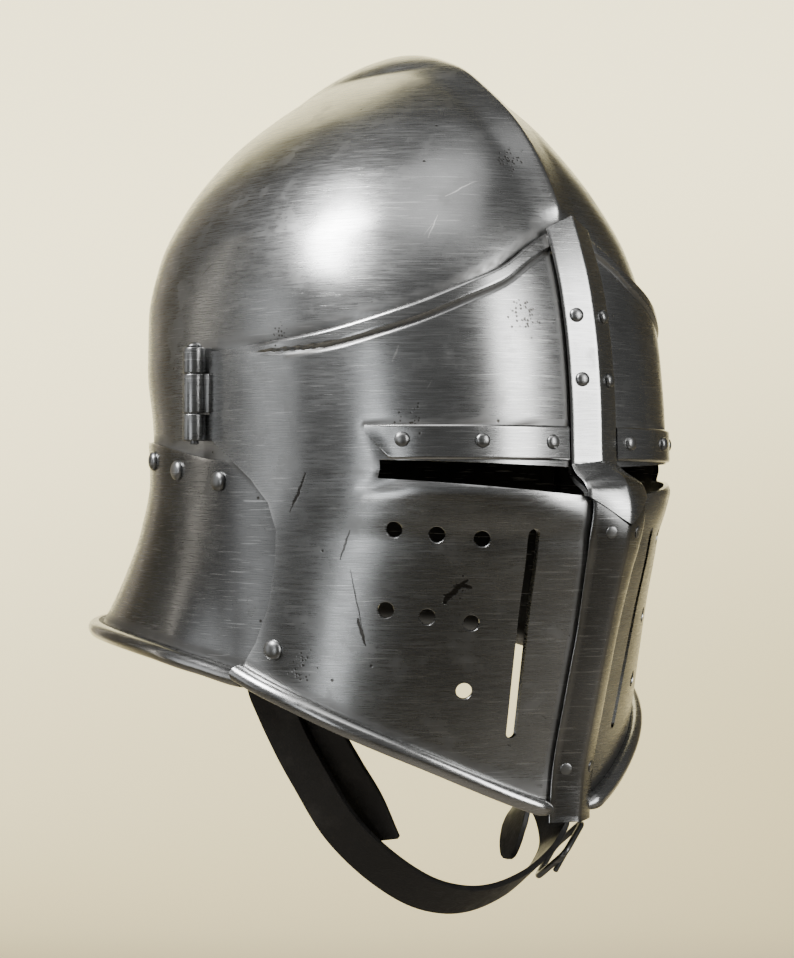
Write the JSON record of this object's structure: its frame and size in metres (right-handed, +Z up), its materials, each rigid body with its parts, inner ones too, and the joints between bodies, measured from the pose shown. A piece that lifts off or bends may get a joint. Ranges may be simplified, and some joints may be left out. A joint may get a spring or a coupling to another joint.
{
  "type": "sallet helmet",
  "caption": "Steel sallet helmet with a side-hung pierced visor, a flared neck guard with rolled rims and a buckled leather chin strap.",
  "frame": {"origin": "middle of the head space at the height of the sights, in the plane of symmetry", "axes": "+Z up to the crown, -Y is the way the face looks, +X is the wearer's left"},
  "size_m": [0.2238, 0.3384, 0.3966],
  "materials": {
    "steel": "satin, brushed, with scratches and small rust pits",
    "dark_steel": "darker forged steel of the hinge pins, buckle and strap rivets",
    "leather": "black waxed strap leather"
  },
  "bodies": {
    "helmet": {"skull": "steel", "neck_guard": "steel", "guard_rivet_right_1": "steel", "guard_rivet_right_2": "steel", "guard_rivet_right_3": "steel", "guard_rivet_left_1": "steel", "guard_rivet_left_2": "steel", "guard_rivet_left_3": "steel", "hinge_pin_right": "dark_steel", "hinge_pin_left": "dark_steel", "chin_strap": "leather", "short_strap": "leather", "strap_tab": "leather", "buckle_frame": "dark_steel", "buckle_prong": "dark_steel", "strap_rivet_right": "dark_steel", "strap_rivet_left": "dark_steel"},
    "visor": {"visor": "steel", "brow_band_right": "steel", "brow_band_left": "steel", "nasal_band": "steel", "chin_strip": "steel", "brow_rivet_right_1": "steel", "brow_rivet_right_2": "steel", "brow_rivet_right_3": "steel", "cheek_rivet_right": "steel", "nasal_rivet_right_1": "steel", "nasal_rivet_right_2": "steel", "brow_rivet_left_1": "steel", "brow_rivet_left_2": "steel", "brow_rivet_left_3": "steel", "cheek_rivet_left": "steel", "nasal_rivet_left_1": "steel", "nasal_rivet_left_2": "steel"}
  },
  "joints": [
    {"name": "visor_hinge", "type": "hinge", "parent": "helmet", "child": "visor", "pos_m": [-0.1069, 0.0134, 0.037], "axis": [0, 0, -1], "range_deg": [0, 100]}
  ]
}
